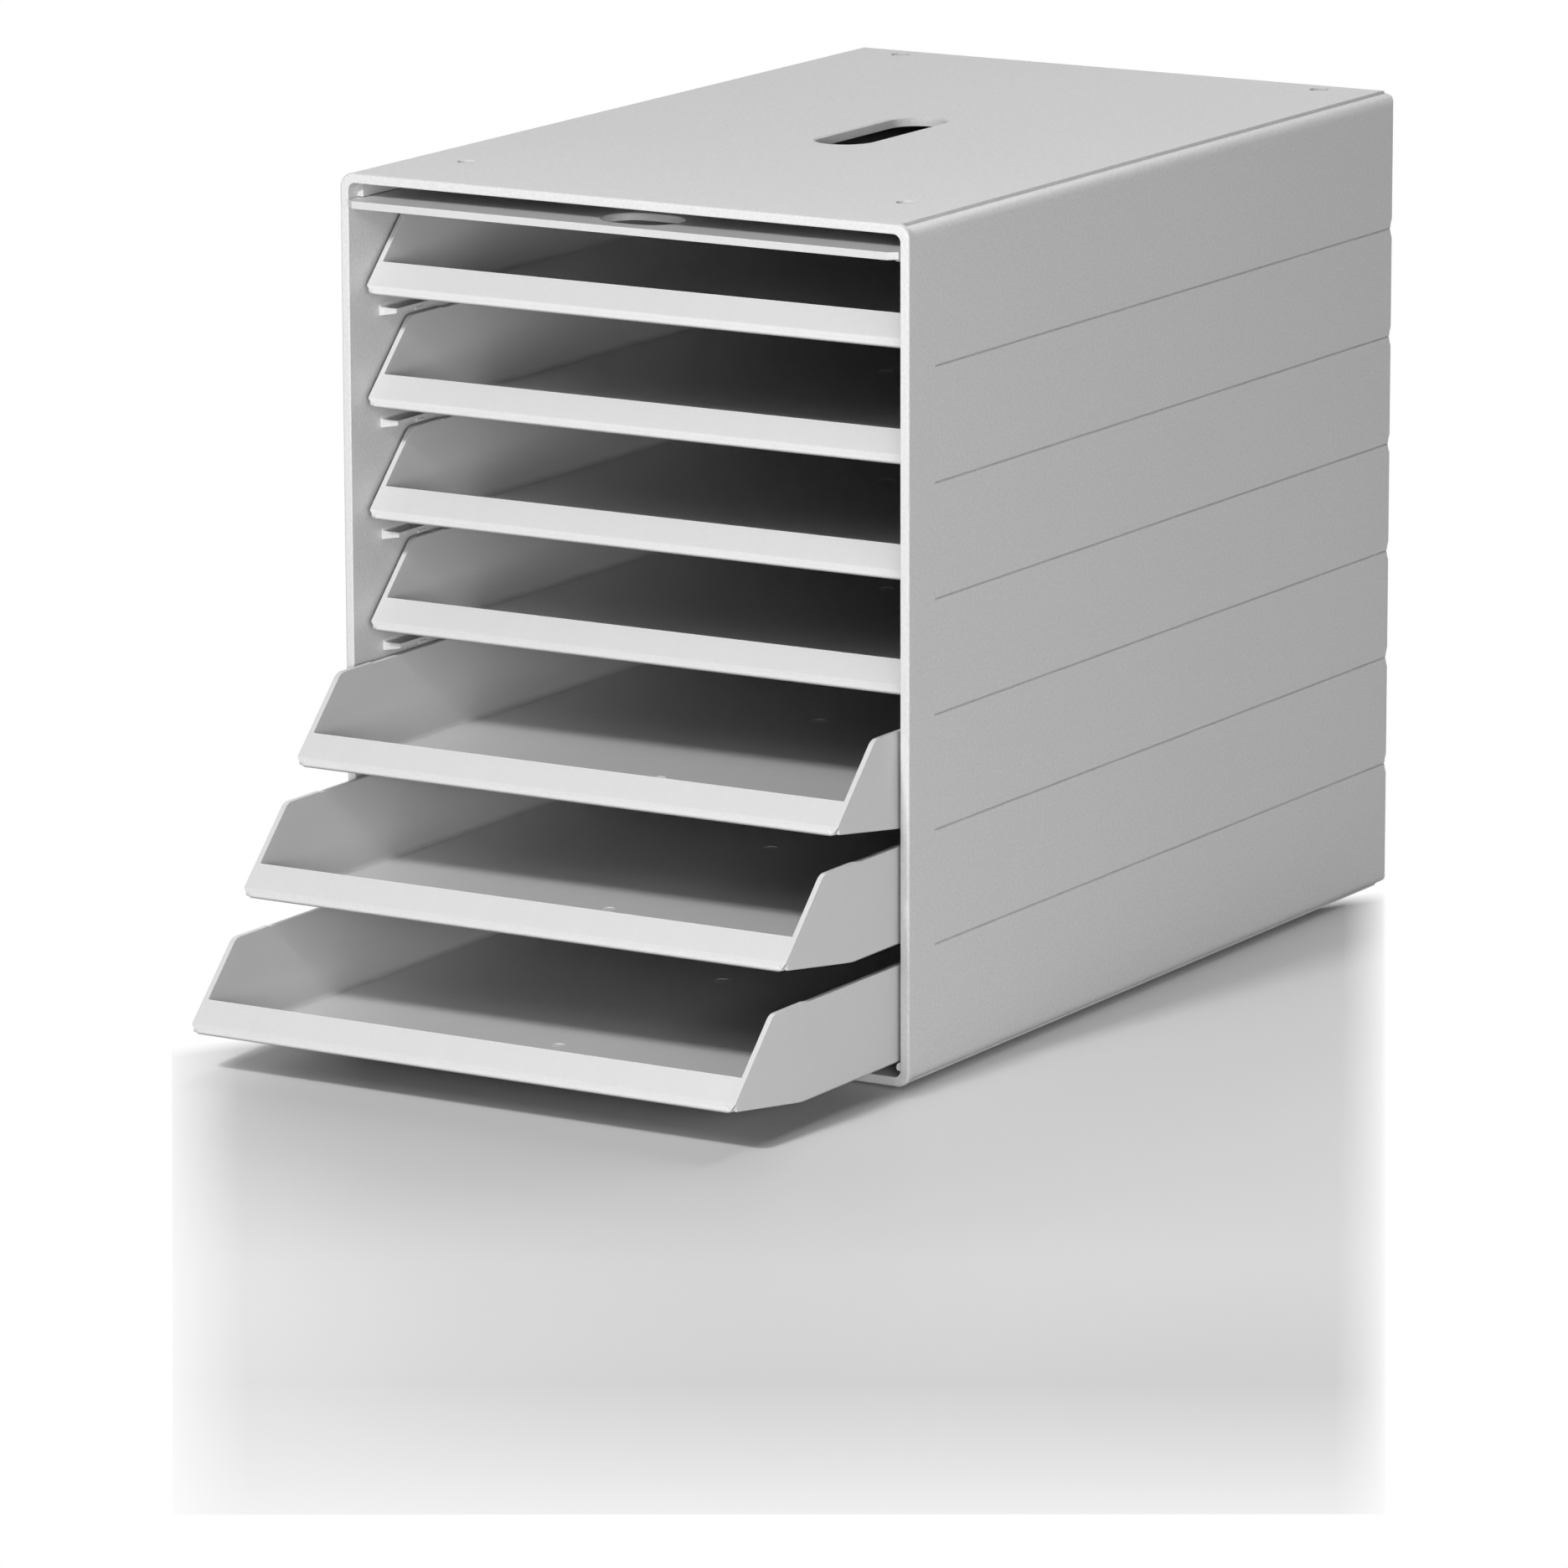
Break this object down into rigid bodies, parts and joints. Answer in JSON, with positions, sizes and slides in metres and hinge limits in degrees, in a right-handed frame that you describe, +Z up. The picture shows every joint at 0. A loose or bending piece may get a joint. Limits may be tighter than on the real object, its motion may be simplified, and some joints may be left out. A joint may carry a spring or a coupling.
{
  "type": "desktop file drawer",
  "caption": "Desktop drawer box: a ribbed housing with open-fronted paper trays that slide on side ledges, and a front flap stowed under its roof.",
  "frame": {"origin": "centre of the housing's footprint, on the plane that the feet stand on, 1.2 mm below the housing's underside", "axes": "+X to the right, +Y to the back, +Z up; the trays and the flap pull out towards -Y"},
  "size_m": [0.25, 0.5011, 0.3272],
  "materials": {
    "housing_plastic": "light grey moulded polystyrene with a fine matt grain",
    "flap_plastic": "light grey moulded polystyrene, smooth satin",
    "tray_plastic": "light grey moulded polystyrene, smooth satin inside and outside",
    "foot_rubber": "dark grey soft rubber"
  },
  "bodies": {
    "housing": {"housing": "housing_plastic", "foot_front_left": "foot_rubber", "foot_front_right": "foot_rubber", "foot_back_left": "foot_rubber", "foot_back_right": "foot_rubber"},
    "front_flap": {"front_flap": "flap_plastic"},
    "tray_1": {"tray_1": "tray_plastic"},
    "tray_2": {"tray_2": "tray_plastic"},
    "tray_3": {"tray_3": "tray_plastic"},
    "tray_4": {"tray_4": "tray_plastic"},
    "tray_5": {"tray_5": "tray_plastic"},
    "tray_6": {"tray_6": "tray_plastic"},
    "tray_7": {"tray_7": "tray_plastic"}
  },
  "joints": [
    {"name": "flap_slide", "type": "slide", "parent": "housing", "child": "front_flap", "axis": [0, -1, 0], "range_m": [0, 0.295]},
    {"name": "tray_1_slide", "type": "slide", "parent": "housing", "child": "tray_1", "axis": [0, -1, 0], "range_m": [0, 0.25]},
    {"name": "tray_2_slide", "type": "slide", "parent": "housing", "child": "tray_2", "axis": [0, -1, 0], "range_m": [0, 0.25]},
    {"name": "tray_3_slide", "type": "slide", "parent": "housing", "child": "tray_3", "axis": [0, -1, 0], "range_m": [0, 0.25]},
    {"name": "tray_4_slide", "type": "slide", "parent": "housing", "child": "tray_4", "axis": [0, -1, 0], "range_m": [0, 0.25]},
    {"name": "tray_5_slide", "type": "slide", "parent": "housing", "child": "tray_5", "axis": [0, -1, 0], "range_m": [-0.0516, 0.1984]},
    {"name": "tray_6_slide", "type": "slide", "parent": "housing", "child": "tray_6", "axis": [0, -1, 0], "range_m": [-0.0888, 0.1612]},
    {"name": "tray_7_slide", "type": "slide", "parent": "housing", "child": "tray_7", "axis": [0, -1, 0], "range_m": [-0.1248, 0.1252]}
  ]
}
